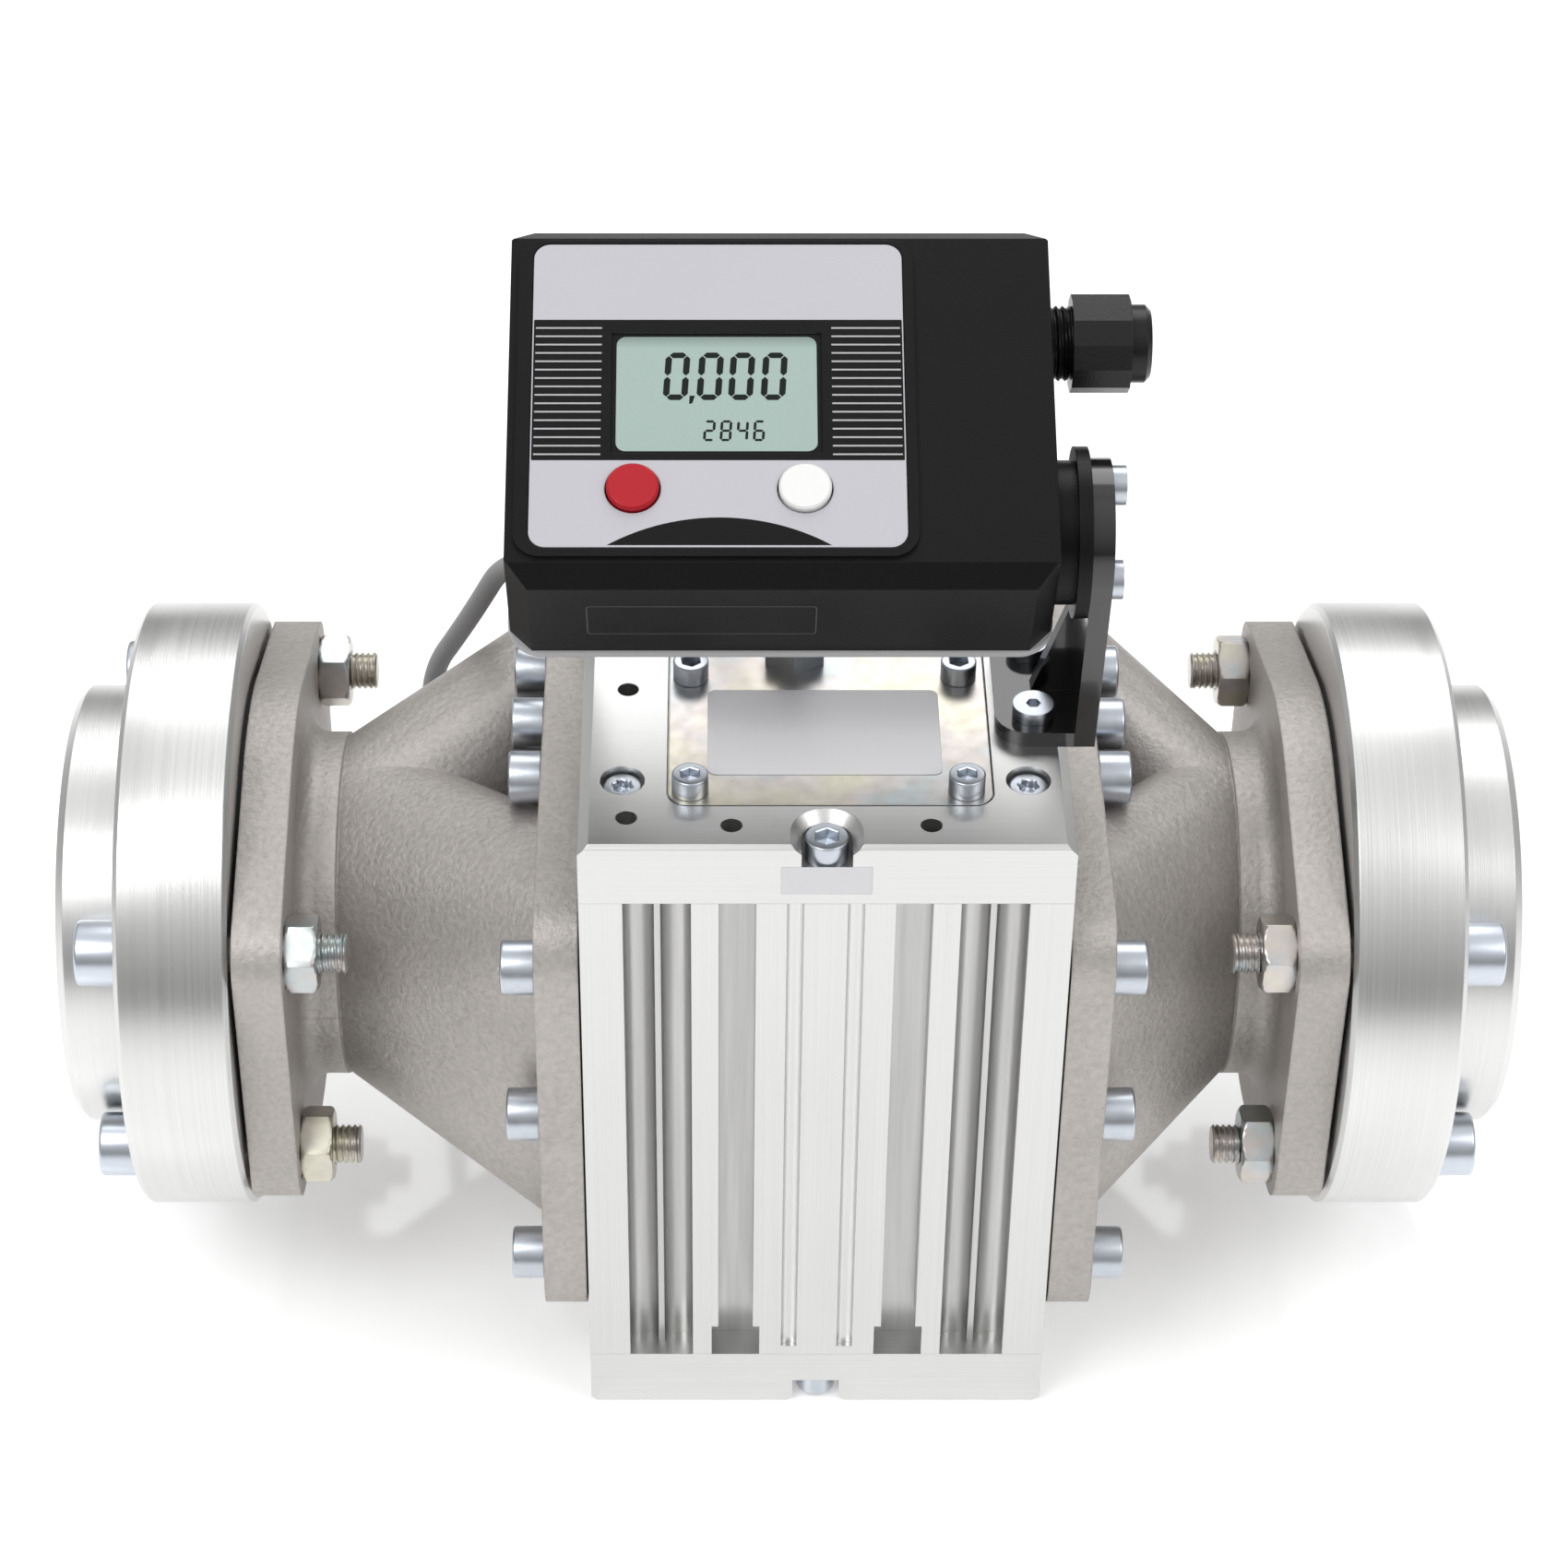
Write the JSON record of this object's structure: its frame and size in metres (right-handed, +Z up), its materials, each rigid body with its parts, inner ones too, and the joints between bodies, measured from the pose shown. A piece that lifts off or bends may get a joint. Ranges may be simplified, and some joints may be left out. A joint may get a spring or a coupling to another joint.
{
  "type": "digital fuel flow meter",
  "caption": "Flanged flow meter for diesel fuel with a tilting battery display on a side bracket, two-arm cast manifolds and threaded pipe flanges.",
  "frame": {"origin": "on the floor under the middle of the meter case", "axes": "+Z up, +X along the pipe from inlet to outlet, -Y towards the reader"},
  "size_m": [0.359, 0.2151, 0.2882],
  "materials": {
    "case_aluminium": "satin",
    "plate_aluminium": "satin",
    "cast_aluminium": "matte",
    "turned_aluminium": "satin",
    "zinc_steel": "satin",
    "passivated_steel": "satin",
    "shaft_steel": "satin",
    "rotor_polymer": "matte",
    "magnet": "gloss",
    "gasket": "matte",
    "black_plastic": "satin",
    "bracket_plastic": "gloss",
    "grey_plastic": "matte",
    "overlay_film": "satin",
    "lcd_glass": "gloss",
    "board_green": "matte",
    "cell_wrap": "gloss",
    "red_button": "gloss",
    "white_button": "gloss",
    "cable_grey": "matte"
  },
  "bodies": {
    "meter": {"meter_case": "case_aluminium", "top_plate": "plate_aluminium", "bottom_plate": "plate_aluminium", "inlet_manifold": "cast_aluminium", "outlet_manifold": "cast_aluminium", "manifold_gaskets": "gasket", "inlet_flange": "turned_aluminium", "outlet_flange": "turned_aluminium", "flange_gaskets": "gasket", "manifold_screws": "zinc_steel", "flange_bolts": "passivated_steel", "flange_nuts": "passivated_steel", "plate_screws": "zinc_steel", "tie_screws": "zinc_steel", "sensor_cover": "passivated_steel", "cover_screws": "zinc_steel", "signal_gland": "zinc_steel", "sensor_board": "board_green", "shafts": "shaft_steel", "bracket": "bracket_plastic", "bracket_screws": "zinc_steel", "signal_cable": "cable_grey"},
    "display": {"display_housing": "black_plastic", "display_back": "grey_plastic", "back_screws": "zinc_steel", "face_overlay": "overlay_film", "lcd": "lcd_glass", "circuit_board": "board_green", "battery": "cell_wrap", "pivot_hub": "black_plastic", "pivot_screws": "zinc_steel", "side_gland_body": "black_plastic", "side_gland_nut": "black_plastic", "cable_boot": "black_plastic"},
    "reset_button_body": {"reset_button": "red_button"},
    "cal_button_body": {"cal_button": "white_button"},
    "front_rotor_body": {"front_rotor": "rotor_polymer", "front_rotor_magnets": "magnet"},
    "front_partner_body": {"front_partner": "rotor_polymer"},
    "rear_rotor_body": {"rear_rotor": "rotor_polymer", "rear_rotor_magnets": "magnet"},
    "rear_partner_body": {"rear_partner": "rotor_polymer"}
  },
  "joints": [
    {"name": "display_tilt", "type": "hinge", "parent": "meter", "child": "display", "pos_m": [0.0608, -0.0474, 0.2425], "axis": [1, 0, 0], "range_deg": [-10, 35]},
    {"name": "reset_button_press", "type": "slide", "parent": "display", "child": "reset_button_body", "axis": [0, 0.4226, -0.9063], "range_m": [0, 0.001], "stiffness_N_per_m": 400},
    {"name": "cal_button_press", "type": "slide", "parent": "display", "child": "cal_button_body", "axis": [0, 0.4226, -0.9063], "range_m": [0, 0.001], "stiffness_N_per_m": 400},
    {"name": "front_rotor_spin", "type": "hinge", "parent": "meter", "child": "front_rotor_body", "pos_m": [0, -0.056, 0.092], "axis": [0, 0, 1], "continuous": true},
    {"name": "front_partner_spin", "type": "hinge", "parent": "meter", "child": "front_partner_body", "pos_m": [0, -0.028, 0.092], "axis": [0, 0, 1], "continuous": true},
    {"name": "rear_rotor_spin", "type": "hinge", "parent": "meter", "child": "rear_rotor_body", "pos_m": [0, 0.028, 0.092], "axis": [0, 0, 1], "continuous": true},
    {"name": "rear_partner_spin", "type": "hinge", "parent": "meter", "child": "rear_partner_body", "pos_m": [0, 0.056, 0.092], "axis": [0, 0, 1], "continuous": true}
  ],
  "couplings": [
    {"joint": "front_partner_spin", "follows": "front_rotor_spin", "ratio": -1},
    {"joint": "rear_partner_spin", "follows": "rear_rotor_spin", "ratio": -1}
  ]
}
